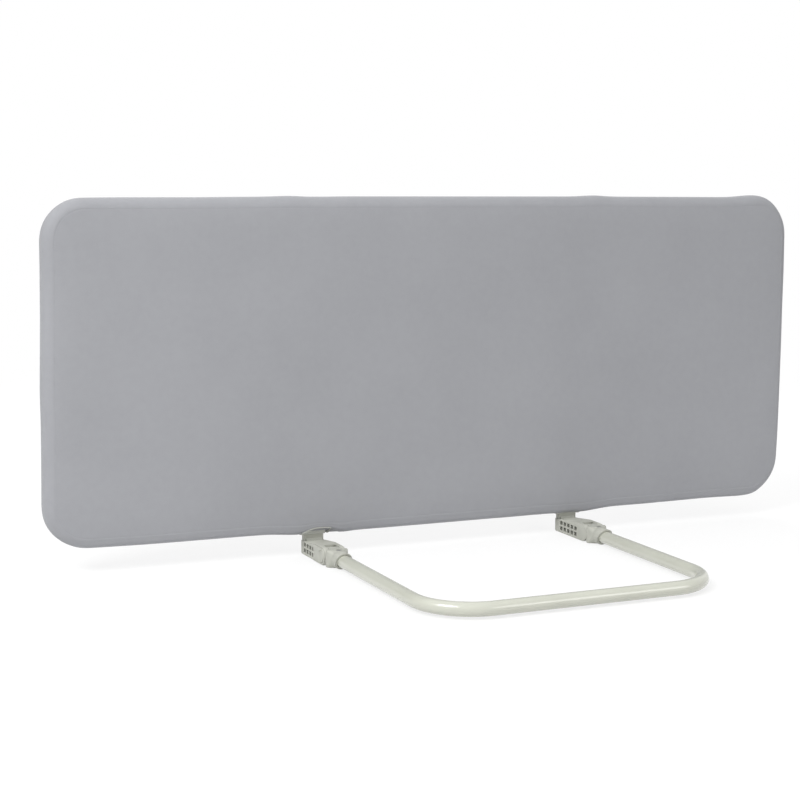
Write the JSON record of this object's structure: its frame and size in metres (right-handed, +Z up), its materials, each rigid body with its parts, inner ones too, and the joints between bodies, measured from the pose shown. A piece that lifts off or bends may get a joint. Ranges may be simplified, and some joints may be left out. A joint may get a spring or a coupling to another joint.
{
  "type": "folding bed guard rail",
  "caption": "Padded fabric bed guard on a tube frame, hinged on a U-shaped base tube through two ribbed brackets with push-button locks.",
  "frame": {"origin": "centre of the footprint, in the plane of the bracket undersides that the part stands on", "axes": "+X along the guard, +Y from the base tube towards the guard, +Z up"},
  "size_m": [1.2, 0.4504, 0.5137],
  "materials": {
    "ivory_powder_coat": "smooth ivory powder coat on round steel tube",
    "ivory_nylon": "moulded nylon, fine matt grain",
    "steel": "zinc plated",
    "grey_fabric": "close plain weave polyester, light grey",
    "foam": "open-cell foam sheet",
    "closure_tape": "hook-and-loop tape"
  },
  "bodies": {
    "root": {"base_tube": "ivory_powder_coat", "left_hinge_socket": "ivory_nylon", "left_socket_screw": "steel", "left_lock_spring": "steel", "right_hinge_socket": "ivory_nylon", "right_socket_screw": "steel", "right_lock_spring": "steel"},
    "guard": {"left_hinge_arm": "ivory_nylon", "right_hinge_arm": "ivory_nylon", "left_hinge_pin": "steel", "right_hinge_pin": "steel", "centre_frame": "ivory_powder_coat", "left_end_loop": "ivory_powder_coat", "right_end_loop": "ivory_powder_coat", "top_left_rail_joint": "ivory_nylon", "bottom_left_rail_joint": "ivory_nylon", "top_right_rail_joint": "ivory_nylon", "bottom_right_rail_joint": "ivory_nylon", "top_left_joint_inner_screw": "steel", "top_left_joint_outer_screw": "steel", "bottom_left_joint_inner_screw": "steel", "bottom_left_joint_outer_screw": "steel", "top_right_joint_inner_screw": "steel", "top_right_joint_outer_screw": "steel", "bottom_right_joint_inner_screw": "steel", "bottom_right_joint_outer_screw": "steel", "left_lower_arm_bolt": "steel", "left_lower_arm_nut": "steel", "left_upper_arm_bolt": "steel", "left_upper_arm_nut": "steel", "right_lower_arm_bolt": "steel", "right_lower_arm_nut": "steel", "right_upper_arm_bolt": "steel", "right_upper_arm_nut": "steel", "front_foam_pad": "foam", "back_foam_pad": "foam", "guard_cover": "grey_fabric", "cover_loop_strip": "closure_tape", "cover_hook_strip": "closure_tape"},
    "left_button": {"left_release_button": "ivory_nylon"},
    "left_dog": {"left_lock_dog": "steel"},
    "right_button": {"right_release_button": "ivory_nylon"},
    "right_dog": {"right_lock_dog": "steel"}
  },
  "joints": [
    {"name": "guard_fold", "type": "hinge", "parent": "root", "child": "guard", "pos_m": [0, 0.1284, 0.0125], "axis": [1, 0, 0], "range_deg": [0, 90]},
    {"name": "left_button_press", "type": "slide", "parent": "guard", "child": "left_button", "axis": [1, 0, 0], "range_m": [0, 0.0028], "stiffness_N_per_m": 400, "springref_m": -0.003},
    {"name": "left_dog_slide", "type": "slide", "parent": "root", "child": "left_dog", "axis": [1, 0, 0], "range_m": [0, 0.0028], "deforming": ["left_lock_spring"]},
    {"name": "right_button_press", "type": "slide", "parent": "guard", "child": "right_button", "axis": [-1, 0, 0], "range_m": [0, 0.0028], "stiffness_N_per_m": 400, "springref_m": -0.003},
    {"name": "right_dog_slide", "type": "slide", "parent": "root", "child": "right_dog", "axis": [-1, 0, 0], "range_m": [0, 0.0028], "deforming": ["right_lock_spring"]}
  ],
  "couplings": [
    {"joint": "left_dog_slide", "follows": "left_button_press", "ratio": 1},
    {"joint": "right_dog_slide", "follows": "right_button_press", "ratio": 1}
  ]
}
